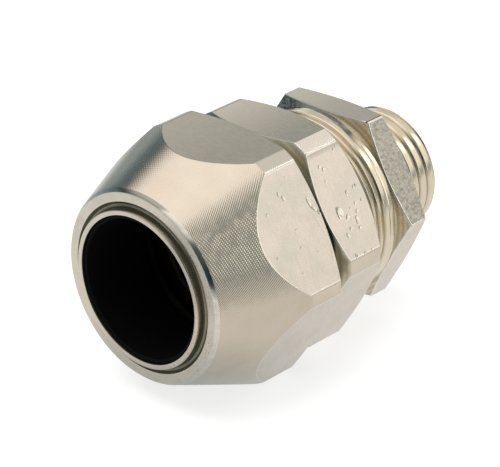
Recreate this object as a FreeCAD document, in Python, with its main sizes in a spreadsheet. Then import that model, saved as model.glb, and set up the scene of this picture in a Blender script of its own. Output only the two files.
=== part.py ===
import FreeCAD, Part
import math
import os
import re
import Sketcher

# Cable gland for armoured cable, in three screwed pieces of plated brass with seals inside.
#
# Frame: +Y runs along the gland's axis, from the cable opening to the entry thread. The origin is on the
# axis, in the plane where the entry hexagon seats on an enclosure wall. +Z is normal to a flat of the cap
# nut, which is the flat that the gland lies on. Stations named "..._ahead" are distances in front of that
# seat plane, towards the cable opening, so a station of 10 is at Y = -10.

DIMENSIONS = [
    # entry body: the hexagon and thread that go on the enclosure
    ("entry_thread_radius", 8.0, "M16 thread, crest radius"),
    ("entry_thread_pitch", 1.5, "M16 x 1.5 pitch"),
    ("entry_thread_length", 8.2, "seat plane to thread end"),
    ("entry_thread_chamfer", 0.5, "lead-in chamfer on the thread end"),
    ("entry_thread_undercut", 0.4, "first groove starts this far from the seat"),
    ("entry_thread_grooves", 5, "number of grooves"),
    ("entry_bore_radius", 5.6, "clear bore for the inner sheath"),
    ("entry_hex_width", 24.0, "hexagon across flats"),
    ("entry_hex_corner", 13.86, "hexagon corner radius"),
    ("entry_hex_length", 4.0, "hexagon thickness"),
    ("entry_hex_turn", 2.8, "hexagon's angle from the cap nut's, degrees"),
    ("entry_face_radius", 11.8, "flat ring on each side of the hexagon"),
    ("entry_front_chamfer", 22.0, "front hexagon chamfer, degrees"),
    ("entry_back_chamfer", 15.0, "back hexagon chamfer, degrees"),
    ("entry_front_ahead", 14.6, "front end of the entry body"),
    ("entry_chamber_radius", 8.4, "inner seal chamber"),
    ("entry_chamber_ahead", 5.5, "bottom of the inner seal chamber"),
    # thread between the entry body and the middle body
    ("body_thread_radius", 12.0, "M24 thread, crest radius"),
    ("body_thread_pitch", 1.0, "M24 x 1 pitch"),
    ("body_thread_undercut", 0.4, "first groove starts this far from the entry hexagon"),
    ("body_thread_grooves", 10, "number of grooves"),
    # thread between the middle body and the cap nut
    ("cap_thread_radius", 13.0, "M26 thread, crest radius"),
    ("cap_thread_pitch", 1.0, "M26 x 1 pitch"),
    ("cap_thread_undercut", 0.3, "first groove starts this far from the middle hexagon"),
    ("cap_thread_grooves", 7, "number of grooves"),
    ("thread_clearance", 0.05, "radial running clearance of both body threads"),
    # the groove of every male thread, as shares of its pitch
    ("groove_mouth_share", 0.5, "width at the crests"),
    ("groove_depth_share", 0.42, "depth"),
    ("groove_floor_near_share", 0.18, "near edge of the floor"),
    ("groove_floor_far_share", 0.32, "far edge of the floor"),
    # middle body
    ("middle_hex_width", 28.0, "hexagon across flats"),
    ("middle_hex_corner", 15.58, "turned corner radius"),
    ("middle_hex_turn", 2.4, "hexagon's angle from the cap nut's, degrees"),
    ("middle_face_radius", 13.6, "flat ring on each side of the hexagon"),
    ("middle_hex_ahead", 17.7, "front face of the hexagon"),
    ("middle_land_front_ahead", 16.3, "turned corners start"),
    ("middle_land_back_ahead", 11.04, "turned corners end"),
    ("middle_back_ahead", 9.8, "back face"),
    ("middle_front_ahead", 25.5, "front end of the spigot"),
    ("middle_bore_radius", 9.5, "bore for the outer sheath"),
    ("middle_shoulder_ahead", 24.4, "shoulder that pushes the clamping ring"),
    ("middle_chamber_radius", 11.2, "armour chamber"),
    ("middle_step_ahead", 16.9, "end of the armour chamber"),
    # cap nut
    ("cap_hex_width", 30.0, "hexagon across flats"),
    ("cap_hex_corner", 16.8, "turned corner radius"),
    ("cap_bore_radius", 9.39, "cable opening"),
    ("cap_lip_radius", 10.05, "outside of the raised lip"),
    ("cap_lip_ahead", 36.65, "front of the raised lip"),
    ("cap_lip_root_radius", 10.85, "foot of the lip on the front face"),
    ("cap_lip_fillet", 0.6, "height of the fillet at the lip's foot"),
    ("cap_face_ahead", 35.9, "front face"),
    ("cap_face_radius", 12.04, "outer edge of the front face"),
    ("cap_cone_front_radius", 12.44, "front edge of the cone"),
    ("cap_cone_front_ahead", 35.46, "front edge of the cone"),
    ("cap_cone_back_ahead", 24.49, "cone meets the turned corners"),
    ("cap_land_back_ahead", 19.46, "turned corners end"),
    ("cap_back_ahead", 18.4, "back face"),
    ("cap_back_radius", 14.53, "outer edge of the back face"),
    ("cap_shoulder_ahead", 33.4, "inner shoulder behind the front wall"),
    ("cap_chamber_radius", 11.9, "outer seal chamber"),
    ("cap_thread_ahead", 27.2, "female thread starts"),
    # outer seal and its slip washer
    ("outer_seal_bore_radius", 8.9, "seal bore"),
    ("outer_seal_sleeve_radius", 9.3, "sleeve inside the cap's lip"),
    ("outer_seal_front_ahead", 36.35, "front of the sleeve"),
    ("outer_seal_shoulder_ahead", 32.5, "shoulder under the slip washer"),
    ("outer_seal_radius", 11.6, "seal outside"),
    ("outer_seal_taper_ahead", 27.4, "back taper starts"),
    ("outer_seal_back_ahead", 26.3, "back face"),
    ("outer_seal_back_radius", 10.6, "outer edge of the back face"),
    ("washer_gap", 0.05, "running gap between a slip washer and the face that turns on it"),
    ("slip_washer_bore_radius", 9.5, "slip washer bore"),
    # armour clamp
    ("clamping_ring_radius", 10.9, "ring outside"),
    ("clamping_ring_bore_radius", 7.4, "ring bore"),
    ("clamping_ring_front_ahead", 24.2, "ring front"),
    ("clamping_ring_back_ahead", 19.4, "ring back"),
    ("clamping_gap", 2.3, "axial gap between the ring's cone and the armour cone"),
    ("armour_cone_bore_radius", 5.8, "cone bore"),
    ("armour_cone_mouth_radius", 6.3, "bore at the tip"),
    ("armour_cone_tip_radius", 7.0, "cone outside at the tip"),
    ("armour_cone_tip_ahead", 21.0, "tip"),
    ("armour_cone_mouth_length", 1.5, "length of the bore's flare at the tip"),
    ("armour_cone_root_radius", 9.9, "cone outside at the flange"),
    ("armour_flange_radius", 10.8, "flange outside"),
    ("armour_flange_thickness", 0.9, "flange thickness"),
    ("armour_tail_radius", 8.3, "tail inside the entry body"),
    ("armour_tail_ahead", 11.0, "end of the tail"),
    # inner seal and its washer
    ("inner_washer_thickness", 0.7, "washer thickness"),
    ("inner_washer_bore_radius", 6.0, "washer bore"),
    ("inner_seal_radius", 8.2, "seal outside"),
    ("inner_seal_bore_radius", 5.8, "seal bore"),
    ("inner_seal_front_ahead", 10.1, "front face"),
    ("inner_seal_taper_ahead", 5.8, "back taper starts"),
    ("inner_seal_back_ahead", 3.8, "back face"),
    # small edge breaks
    ("edge_break", 0.3, "chamfer on turned edges"),
    ("fine_break", 0.15, "chamfer on thin rings"),
    # how far the cutting outlines reach outside the stock
    ("groove_overshoot", 0.2, "thread groove"),
    ("hexagon_overshoot", 2.0, "rim around the milled hexagon"),
]
HEXAGON_SIDES = 6
LEAST_CUT_VOLUME = 0.5
NEAR_ZERO = 1e-9

document = FreeCAD.newDocument("cable_gland")
sheet = document.addObject("Spreadsheet::Sheet", "Dims")
for row, (alias, value, note) in enumerate(DIMENSIONS, start=1):
    sheet.set(f"A{row}", note)
    sheet.set(f"B{row}", str(value))
    sheet.setAlias(f"B{row}", alias)
document.recompute()

CELLS = {alias: f"Dims.{alias}" for alias, value, note in DIMENSIONS}


def bound(expression):
    """The expression with each dimension's name pointing at its cell."""
    return re.sub(r"[a-z_]+", lambda word: CELLS.get(word.group(), word.group()), expression)


def value_of(expression):
    """The number that an expression of dimensions gives now."""
    return float(sheet.evalExpression(bound(expression)))


def new_body(label):
    """An empty body whose place is the gland's own frame."""
    body = document.addObject("PartDesign::Body", label)
    body.Label = label
    body.Placement = FreeCAD.Placement()
    return body


def origin_feature(body, role):
    """One of the body's own origin planes or axes."""
    return next(item for item in body.Origin.OriginFeatures if item.Role == role)


def new_sketch(body, name, plane):
    """An empty sketch on one of the body's origin planes."""
    sketch = body.newObject("Sketcher::SketchObject", name)
    sketch.AttachmentSupport = [(origin_feature(body, plane), "")]
    sketch.MapMode = "FlatFace"
    return sketch


def bind_coordinate(sketch, kind, line, expression):
    """Holds the start point of a line at a signed distance from the sketch's origin."""
    distance = value_of(expression)
    if abs(distance) < NEAR_ZERO:
        axis = -2 if kind == "DistanceX" else -1
        sketch.addConstraint(Sketcher.Constraint("PointOnObject", line, 1, axis))
        return
    if distance > 0:
        constraint = Sketcher.Constraint(kind, -1, 1, line, 1, distance)
        text = bound(expression)
    else:
        constraint = Sketcher.Constraint(kind, line, 1, -1, 1, -distance)
        text = bound(f"0 - ( {expression} )")
    index = sketch.addConstraint(constraint)
    sketch.setExpression(f"Constraints[{index}]", text)


def add_outline(sketch, points):
    """A closed outline of straight sides through points given as (radius, Y) expressions."""
    corners = [FreeCAD.Vector(value_of(x), value_of(y), 0) for x, y in points]
    count = len(corners)
    first = sketch.GeometryCount
    for k in range(count):
        sketch.addGeometry(Part.LineSegment(corners[k], corners[(k + 1) % count]), False)
    for k in range(count):
        after = (k + 1) % count
        sketch.addConstraint(Sketcher.Constraint("Coincident", first + k, 2, first + after, 1))
    for k, (x, y) in enumerate(points):
        bind_coordinate(sketch, "DistanceX", first + k, x)
        bind_coordinate(sketch, "DistanceY", first + k, y)


def ahead(expression):
    """A station in front of the seat plane, as a Y expression."""
    return f"0 - ( {expression} )"


def turn_profile(body, points):
    """Revolves a closed outline of (radius, Y) points about the gland's axis."""
    sketch = new_sketch(body, "TurnedProfile", "XY_Plane")
    add_outline(sketch, points)
    document.recompute()
    revolution = body.newObject("PartDesign::Revolution", "Turned")
    revolution.Profile = sketch
    revolution.ReferenceAxis = (sketch, ["V_Axis"])
    revolution.Angle = 360.0
    document.recompute()
    return revolution


def checked_cut(body, feature, what):
    """Recomputes the body and stops if the feature removed nothing."""
    before = feature.BaseFeature.Shape.Volume
    document.recompute()
    if not body.Shape.Volume < before - LEAST_CUT_VOLUME:
        raise RuntimeError(f"{body.Label}: {what} removed nothing")


def cut_hexagon(body, width, turn, limit_radius):
    """Mills six flats along the whole body: removes what is outside a hexagon."""
    sketch = new_sketch(body, "Flats", "XZ_Plane")
    corner = value_of(width) / math.sqrt(3)
    rim_radius = value_of(f"{limit_radius} + hexagon_overshoot")
    start = math.radians(value_of(turn))
    centre = FreeCAD.Vector(0, 0, 0)
    normal = FreeCAD.Vector(0, 0, 1)
    corners = []
    for k in range(HEXAGON_SIDES):
        angle = start + k * 2 * math.pi / HEXAGON_SIDES
        corners.append(FreeCAD.Vector(corner * math.cos(angle), corner * math.sin(angle), 0))
    for k in range(HEXAGON_SIDES):
        sketch.addGeometry(Part.LineSegment(corners[k], corners[(k + 1) % HEXAGON_SIDES]), False)
    guide = sketch.addGeometry(Part.Circle(centre, normal, corner), True)
    rim = sketch.addGeometry(Part.Circle(centre, normal, rim_radius), False)
    for k in range(HEXAGON_SIDES):
        sketch.addConstraint(Sketcher.Constraint("Coincident", k, 2, (k + 1) % HEXAGON_SIDES, 1))
        sketch.addConstraint(Sketcher.Constraint("PointOnObject", k, 1, guide))
    for k in range(HEXAGON_SIDES - 1):
        sketch.addConstraint(Sketcher.Constraint("Equal", k, k + 1))
    sketch.addConstraint(Sketcher.Constraint("Coincident", guide, 3, -1, 1))
    sketch.addConstraint(Sketcher.Constraint("Coincident", rim, 3, -1, 1))
    guide_size = sketch.addConstraint(Sketcher.Constraint("Radius", guide, corner))
    rim_size = sketch.addConstraint(Sketcher.Constraint("Radius", rim, rim_radius))
    side_angle = sketch.addConstraint(Sketcher.Constraint("Angle", 0, start + 2 * math.pi / 3))
    sketch.setExpression(f"Constraints[{guide_size}]", bound(f"( {width} ) / sqrt(3)"))
    sketch.setExpression(f"Constraints[{rim_size}]", bound(f"{limit_radius} + hexagon_overshoot"))
    sketch.setExpression(f"Constraints[{side_angle}]", bound(f"120 deg + ( {turn} ) * 1 deg"))
    document.recompute()
    pocket = body.newObject("PartDesign::Pocket", "MilledFlats")
    pocket.Profile = sketch
    pocket.Type = "ThroughAll"
    pocket.Midplane = True
    checked_cut(body, pocket, "the hexagon")


def cut_thread(body, name, radius, pitch, first_y, grooves, direction):
    """Ridged stand-in for a male thread: one groove with sloping sides, repeated once per turn."""
    sketch = new_sketch(body, name + "Groove", "XY_Plane")
    toward = 1 if direction == "+Y" else -1
    step = f"( {pitch} ) * {toward}"
    cutter = f"{radius} + groove_overshoot"
    floor = f"{radius} - ( {pitch} ) * groove_depth_share"
    count = round(value_of(grooves))
    outline = [
        (cutter, first_y),
        (cutter, f"( {first_y} ) + {step} * groove_mouth_share"),
        (radius, f"( {first_y} ) + {step} * groove_mouth_share"),
        (floor, f"( {first_y} ) + {step} * groove_floor_far_share"),
        (floor, f"( {first_y} ) + {step} * groove_floor_near_share"),
        (radius, first_y),
    ]
    add_outline(sketch, outline)
    document.recompute()
    groove = body.newObject("PartDesign::Groove", name + "Turn")
    groove.Profile = sketch
    groove.ReferenceAxis = (sketch, ["V_Axis"])
    groove.Angle = 360.0
    checked_cut(body, groove, name)
    pattern = body.newObject("PartDesign::LinearPattern", name)
    pattern.Originals = [groove]
    pattern.Direction = (origin_feature(body, "Y_Axis"), [""])
    pattern.Reversed = direction == "-Y"
    pattern.Occurrences = count
    pattern.setExpression("Length", bound(f"( {pitch} ) * {count - 1}"))
    body.Tip = pattern
    document.recompute()


def build_entry_body():
    body = new_body("entry_body")
    slope_front = "tan(entry_front_chamfer * 1 deg)"
    slope_back = "tan(entry_back_chamfer * 1 deg)"
    rise = "( entry_hex_corner - entry_face_radius )"
    thread_tip = "entry_thread_length - entry_thread_chamfer"
    points = [
        ("entry_bore_radius + edge_break", "entry_thread_length"),
        ("entry_thread_radius - entry_thread_chamfer", "entry_thread_length"),
        ("entry_thread_radius", thread_tip),
        ("entry_thread_radius", "0"),
        ("entry_face_radius", "0"),
        ("entry_hex_corner", ahead(f"{rise} * {slope_back}")),
        ("entry_hex_corner", ahead(f"entry_hex_length - {rise} * {slope_front}")),
        ("entry_face_radius", ahead("entry_hex_length")),
        ("body_thread_radius - fine_break", ahead("entry_hex_length + fine_break")),
        ("body_thread_radius", ahead("entry_hex_length + edge_break")),
        ("body_thread_radius", ahead("entry_front_ahead - body_thread_pitch * 0.5")),
        ("body_thread_radius - body_thread_pitch * 0.5", ahead("entry_front_ahead")),
        ("entry_chamber_radius + fine_break", ahead("entry_front_ahead")),
        ("entry_chamber_radius", ahead("entry_front_ahead - fine_break")),
        ("entry_chamber_radius", ahead("entry_chamber_ahead")),
        ("entry_bore_radius", ahead("entry_chamber_ahead - entry_chamber_radius + entry_bore_radius")),
        ("entry_bore_radius", "entry_thread_length - edge_break"),
    ]
    turn_profile(body, points)
    cut_hexagon(body, "entry_hex_width", "entry_hex_turn", "entry_hex_corner")
    cut_thread(body, "EntryThread", "entry_thread_radius", "entry_thread_pitch",
               "entry_thread_undercut", "entry_thread_grooves", "+Y")
    cut_thread(body, "BodyThread", "body_thread_radius", "body_thread_pitch",
               ahead("entry_hex_length + body_thread_undercut"), "body_thread_grooves", "-Y")
    return body


def build_middle_body():
    body = new_body("middle_body")
    points = [
        ("middle_bore_radius + fine_break", ahead("middle_shoulder_ahead")),
        ("middle_bore_radius", ahead("middle_shoulder_ahead + fine_break")),
        ("middle_bore_radius", ahead("middle_front_ahead - edge_break * 2")),
        ("middle_bore_radius + edge_break * 2", ahead("middle_front_ahead")),
        ("cap_thread_radius - cap_thread_pitch * 0.5", ahead("middle_front_ahead")),
        ("cap_thread_radius", ahead("middle_front_ahead - cap_thread_pitch * 0.5")),
        ("cap_thread_radius", ahead("middle_hex_ahead")),
        ("middle_face_radius", ahead("middle_hex_ahead")),
        ("middle_hex_corner", ahead("middle_land_front_ahead")),
        ("middle_hex_corner", ahead("middle_land_back_ahead")),
        ("middle_face_radius", ahead("middle_back_ahead")),
        ("body_thread_radius + thread_clearance + edge_break", ahead("middle_back_ahead")),
        ("body_thread_radius + thread_clearance", ahead("middle_back_ahead + edge_break")),
        ("body_thread_radius + thread_clearance", ahead("middle_step_ahead")),
        ("middle_chamber_radius", ahead("middle_step_ahead")),
        ("middle_chamber_radius", ahead("middle_shoulder_ahead")),
    ]
    turn_profile(body, points)
    cut_hexagon(body, "middle_hex_width", "middle_hex_turn", "middle_hex_corner")
    cut_thread(body, "CapThread", "cap_thread_radius", "cap_thread_pitch",
               ahead("middle_hex_ahead + cap_thread_undercut"), "cap_thread_grooves", "-Y")
    return body


def build_cap_nut():
    body = new_body("cap_nut")
    points = [
        ("cap_bore_radius", ahead("cap_lip_ahead - fine_break")),
        ("cap_bore_radius + fine_break", ahead("cap_lip_ahead")),
        ("cap_lip_radius", ahead("cap_lip_ahead")),
        ("cap_lip_radius + fine_break", ahead("cap_face_ahead + cap_lip_fillet")),
        ("cap_lip_radius + fine_break * 2", ahead("cap_face_ahead + fine_break")),
        ("cap_lip_root_radius", ahead("cap_face_ahead")),
        ("cap_face_radius", ahead("cap_face_ahead")),
        ("cap_cone_front_radius", ahead("cap_cone_front_ahead")),
        ("cap_hex_corner", ahead("cap_cone_back_ahead")),
        ("cap_hex_corner", ahead("cap_land_back_ahead")),
        ("cap_back_radius", ahead("cap_back_ahead")),
        ("cap_thread_radius + thread_clearance + edge_break", ahead("cap_back_ahead")),
        ("cap_thread_radius + thread_clearance", ahead("cap_back_ahead + edge_break")),
        ("cap_thread_radius + thread_clearance", ahead("cap_thread_ahead")),
        ("cap_chamber_radius", ahead("cap_thread_ahead")),
        ("cap_chamber_radius", ahead("cap_shoulder_ahead")),
        ("cap_bore_radius", ahead("cap_shoulder_ahead")),
    ]
    turn_profile(body, points)
    cut_hexagon(body, "cap_hex_width", "0", "cap_hex_corner")
    return body


def build_outer_seal():
    body = new_body("outer_seal")
    points = [
        ("outer_seal_bore_radius + fine_break", ahead("outer_seal_front_ahead")),
        ("outer_seal_sleeve_radius", ahead("outer_seal_front_ahead")),
        ("outer_seal_sleeve_radius", ahead("outer_seal_shoulder_ahead")),
        ("outer_seal_radius - fine_break", ahead("outer_seal_shoulder_ahead")),
        ("outer_seal_radius", ahead("outer_seal_shoulder_ahead - fine_break")),
        ("outer_seal_radius", ahead("outer_seal_taper_ahead")),
        ("outer_seal_back_radius", ahead("outer_seal_back_ahead")),
        ("outer_seal_bore_radius + edge_break", ahead("outer_seal_back_ahead")),
        ("outer_seal_bore_radius", ahead("outer_seal_back_ahead + edge_break")),
        ("outer_seal_bore_radius", ahead("outer_seal_front_ahead - fine_break")),
    ]
    turn_profile(body, points)
    return body


def build_ring(label, bore, outside, front, back):
    """A flat ring with broken edges."""
    body = new_body(label)
    points = [
        (bore, ahead(f"{front} - fine_break")),
        (f"{bore} + fine_break", ahead(front)),
        (f"{outside} - fine_break", ahead(front)),
        (outside, ahead(f"{front} - fine_break")),
        (outside, ahead(f"{back} + fine_break")),
        (f"{outside} - fine_break", ahead(back)),
        (f"{bore} + fine_break", ahead(back)),
        (bore, ahead(f"{back} + fine_break")),
    ]
    turn_profile(body, points)
    return body


def build_slip_washer():
    return build_ring("slip_washer", "slip_washer_bore_radius", "outer_seal_radius",
                      "cap_shoulder_ahead - washer_gap", "outer_seal_shoulder_ahead + washer_gap")


def build_inner_washer():
    front = "armour_tail_ahead - washer_gap"
    return build_ring("inner_washer", "inner_washer_bore_radius", "inner_seal_radius",
                      front, f"{front} - inner_washer_thickness")


def build_clamping_ring():
    body = new_body("clamping_ring")
    root_ahead = "( entry_front_ahead + armour_flange_thickness )"
    length = f"( armour_cone_tip_ahead - {root_ahead} )"
    slope = f"( armour_cone_root_radius - armour_cone_tip_radius ) / {length}"
    cone_tip_shift = "( armour_cone_tip_ahead + clamping_gap )"
    points = [
        ("clamping_ring_bore_radius", ahead("clamping_ring_front_ahead - edge_break")),
        ("clamping_ring_bore_radius + edge_break", ahead("clamping_ring_front_ahead")),
        ("clamping_ring_radius - edge_break", ahead("clamping_ring_front_ahead")),
        ("clamping_ring_radius", ahead("clamping_ring_front_ahead - edge_break")),
        ("clamping_ring_radius", ahead("clamping_ring_back_ahead + edge_break")),
        ("clamping_ring_radius - edge_break", ahead("clamping_ring_back_ahead")),
        (f"armour_cone_tip_radius + ( {cone_tip_shift} - clamping_ring_back_ahead ) * {slope}",
         ahead("clamping_ring_back_ahead")),
        ("clamping_ring_bore_radius",
         ahead(f"{cone_tip_shift} - ( clamping_ring_bore_radius - armour_cone_tip_radius ) / ( {slope} )")),
    ]
    turn_profile(body, points)
    return body


def build_armour_cone():
    body = new_body("armour_cone")
    flange_ahead = "entry_front_ahead + armour_flange_thickness"
    points = [
        ("armour_cone_bore_radius", ahead("armour_tail_ahead + fine_break")),
        ("armour_cone_bore_radius", ahead("armour_cone_tip_ahead - armour_cone_mouth_length")),
        ("armour_cone_mouth_radius", ahead("armour_cone_tip_ahead")),
        ("armour_cone_tip_radius - fine_break", ahead("armour_cone_tip_ahead")),
        ("armour_cone_tip_radius", ahead("armour_cone_tip_ahead - fine_break")),
        ("armour_cone_root_radius", ahead(flange_ahead)),
        ("armour_flange_radius - fine_break", ahead(flange_ahead)),
        ("armour_flange_radius", ahead(f"{flange_ahead} - fine_break")),
        ("armour_flange_radius", ahead("entry_front_ahead")),
        ("armour_tail_radius", ahead("entry_front_ahead")),
        ("armour_tail_radius", ahead("armour_tail_ahead + fine_break")),
        ("armour_tail_radius - fine_break", ahead("armour_tail_ahead")),
        ("armour_cone_bore_radius + fine_break", ahead("armour_tail_ahead")),
    ]
    turn_profile(body, points)
    return body


def build_inner_seal():
    body = new_body("inner_seal")
    taper = "( inner_seal_taper_ahead - inner_seal_back_ahead )"
    points = [
        ("inner_seal_bore_radius", ahead("inner_seal_front_ahead - edge_break")),
        ("inner_seal_bore_radius + edge_break", ahead("inner_seal_front_ahead")),
        ("inner_seal_radius - edge_break", ahead("inner_seal_front_ahead")),
        ("inner_seal_radius", ahead("inner_seal_front_ahead - edge_break")),
        ("inner_seal_radius", ahead("inner_seal_taper_ahead")),
        (f"inner_seal_radius - {taper}", ahead("inner_seal_back_ahead")),
        ("inner_seal_bore_radius + fine_break", ahead("inner_seal_back_ahead")),
        ("inner_seal_bore_radius", ahead("inner_seal_back_ahead + fine_break")),
    ]
    turn_profile(body, points)
    return body


sub_parts = [
    build_cap_nut(),
    build_slip_washer(),
    build_outer_seal(),
    build_middle_body(),
    build_clamping_ring(),
    build_armour_cone(),
    build_inner_washer(),
    build_inner_seal(),
    build_entry_body(),
]
document.recompute()

for item in document.Objects:
    if "Invalid" in item.State or "Error" in item.State:
        raise RuntimeError(f"{item.Label}: {item.State}")
for sub_part in sub_parts:
    if sub_part.Shape.isNull() or not sub_part.Shape.isValid() or len(sub_part.Shape.Solids) != 1:
        raise RuntimeError(f"{sub_part.Label}: its shape is not one valid solid")

os.makedirs("parts", exist_ok=True)
for sub_part in sub_parts:
    sub_part.Shape.exportStep(f"parts/{sub_part.Label}.step")
    box = sub_part.Shape.BoundBox
    print(f"{sub_part.Label}: {sub_part.Shape.Volume:.1f} mm3, Y {box.YMin:.2f} to {box.YMax:.2f}")
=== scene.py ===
import math

import bpy
import numpy as np
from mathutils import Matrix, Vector


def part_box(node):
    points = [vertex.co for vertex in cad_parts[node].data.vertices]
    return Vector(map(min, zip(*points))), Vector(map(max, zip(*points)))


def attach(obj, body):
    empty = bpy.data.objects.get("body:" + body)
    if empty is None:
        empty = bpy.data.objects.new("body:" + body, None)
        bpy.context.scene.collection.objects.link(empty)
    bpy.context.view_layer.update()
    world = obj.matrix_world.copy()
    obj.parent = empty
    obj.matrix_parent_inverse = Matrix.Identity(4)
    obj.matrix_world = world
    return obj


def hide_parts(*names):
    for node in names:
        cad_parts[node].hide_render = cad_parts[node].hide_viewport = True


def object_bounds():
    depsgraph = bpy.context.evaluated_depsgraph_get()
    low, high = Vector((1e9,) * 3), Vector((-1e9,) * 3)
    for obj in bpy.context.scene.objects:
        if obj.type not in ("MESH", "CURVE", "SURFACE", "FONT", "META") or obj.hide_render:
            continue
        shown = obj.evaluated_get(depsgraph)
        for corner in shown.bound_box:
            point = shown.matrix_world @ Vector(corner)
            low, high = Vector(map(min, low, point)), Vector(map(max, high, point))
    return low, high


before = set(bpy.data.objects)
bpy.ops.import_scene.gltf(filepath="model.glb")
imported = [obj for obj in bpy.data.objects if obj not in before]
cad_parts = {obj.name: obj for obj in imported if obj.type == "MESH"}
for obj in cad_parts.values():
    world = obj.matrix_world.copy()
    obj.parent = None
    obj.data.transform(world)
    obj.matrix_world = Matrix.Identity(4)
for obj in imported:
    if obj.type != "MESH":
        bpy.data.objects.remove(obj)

MM = 0.001
cad_low, cad_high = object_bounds()

# ---------------------------------------------------------------- sizes

# Radii, half widths and stations along the axis, in metres. The seat plane behind the entry hexagon is at
# y = 0. The frame's boxes give some of them. The others repeat the CAD's, or follow the photo inside its box.
cap_low, cap_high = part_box("cap_nut")
middle_low, middle_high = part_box("middle_body")
entry_low, entry_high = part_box("entry_body")

CAP_LIP = cap_low.y
CAP_BACK = cap_high.y
CAP_FACE = CAP_LIP + 0.75 * MM
CAP_CONE_FRONT = CAP_FACE + 0.44 * MM
CAP_THREAD_START = -27.2 * MM
CAP_SHOULDER = -33.4 * MM
CAP_CORNER = min(cap_high.x, -cap_low.x)
CAP_HALF_WIDTH = cap_high.z
CAP_BORE = 9.39 * MM
CAP_CHAMBER = 11.9 * MM
CAP_FACE_RADIUS = 12.04 * MM
CAP_CONE_RADIUS = 12.44 * MM
CAP_CONE_SLOPE = 0.3975
CAP_BACK_RADIUS = 14.53 * MM
CAP_BACK_SLOPE = math.tan(math.radians(25))

# The raised lip round the cable opening, and the narrow groove beside it.
LIP_RADIUS = 10.05 * MM
GROOVE_SIDE = 10.15 * MM
GROOVE_BOTTOM = 10.50 * MM
GROOVE_RIM = 10.86 * MM
GROOVE_SIDE_DEPTH = 0.30 * MM
GROOVE_DEPTH = 0.42 * MM

MIDDLE_FRONT = middle_low.y
MIDDLE_BACK = middle_high.y
MIDDLE_HEX_FRONT = -17.7 * MM
MIDDLE_SHOULDER = -16.9 * MM
MIDDLE_CHAMBER_FRONT = -24.4 * MM
MIDDLE_TURN = -2.4
MIDDLE_HALF_WIDTH = 14.0 * MM
MIDDLE_CORNER = 15.58 * MM
MIDDLE_FACE_RADIUS = 13.6 * MM
MIDDLE_FRONT_SLOPE = math.tan(math.radians(35.3))
MIDDLE_BACK_SLOPE = math.tan(math.radians(32.06))
MIDDLE_BORE = 9.5 * MM
MIDDLE_FRONT_RADIUS = 10.1 * MM
MIDDLE_FRONT_BEVEL = 0.6 * MM
MIDDLE_CHAMBER = 11.2 * MM

ENTRY_FRONT = entry_low.y
ENTRY_HEX_FRONT = -4.0 * MM
ENTRY_CONE_FRONT = -5.5 * MM
ENTRY_CONE_BACK = -2.7 * MM
THREAD_END = entry_high.y
ENTRY_TURN = -2.8
ENTRY_HALF_WIDTH = 12.0 * MM
ENTRY_CORNER = 13.80 * MM
ENTRY_FACE_RADIUS = 11.8 * MM
ENTRY_FRONT_SLOPE = math.tan(math.radians(22))
ENTRY_BACK_SLOPE = math.tan(math.radians(15))
ENTRY_BORE = 5.6 * MM
ENTRY_CHAMBER = 8.4 * MM
# Rows are closer together from here to the hexagon, where the body thread shows.
SHOWN_THREAD_FRONT = MIDDLE_BACK - 0.6 * MM
BODY_THREAD_END = ENTRY_HEX_FRONT - 0.3 * MM
THREAD_END_BEVEL = (0.3 * MM, 0.2 * MM)

CAP_THREAD_RADIUS = 13.0 * MM
BODY_THREAD_RADIUS = 12.0 * MM
ENTRY_THREAD_RADIUS = 8.0 * MM
BODY_THREAD_PITCH = 1.0 * MM
ENTRY_THREAD_PITCH = 1.48 * MM
THREAD_CLEARANCE = 0.05 * MM
THREAD_LEAD_IN = 0.5 * MM
BORE_LEAD_IN = 0.3 * MM

# How many columns there are across each flat, from flat 0 on top. Flat 1, on the photo's right, has the most
# marks.
CAP_COLUMNS = (46, 176, 44, 40, 44, 40)
MIDDLE_COLUMNS = (46, 194, 44, 44, 52, 44)
ENTRY_COLUMNS = (56,) * 6
WORN_FLAT = 1
NO_FLAT = -1

# In degrees: half of a flat with its corner, the closer columns at the turned corner, and how far the plain
# columns stay away from those.
HALF_SIDE = 30
CORNER_STEPS = (-0.45, -0.3, -0.15, 0.0, 0.15, 0.3, 0.45)
CORNER_CLEAR = 0.6

# Each flat falls away by CROWN at CROWN_REACH from its middle: tumbling leaves them slightly crowned.
CROWN = 0.07 * MM
CROWN_REACH = 7.5 * MM
# How wide the blend is where a flat meets the turned corner.
CORNER_BLEND = 0.05 * MM

# Finishes, in the order of each shell's material slots. BRIGHT has EDGE's material, away from the flats.
TURNED, MILLED, THREADED, BORED, EDGE, INSIDE_SHADE, WORN, GROOVED, FACED, BRIGHT, DULLED = range(11)

# Where the burnished edge of a flat begins and ends, in degrees inside its corner.
EDGE_INNER = 0.35
EDGE_OUTER = -0.2

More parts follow.
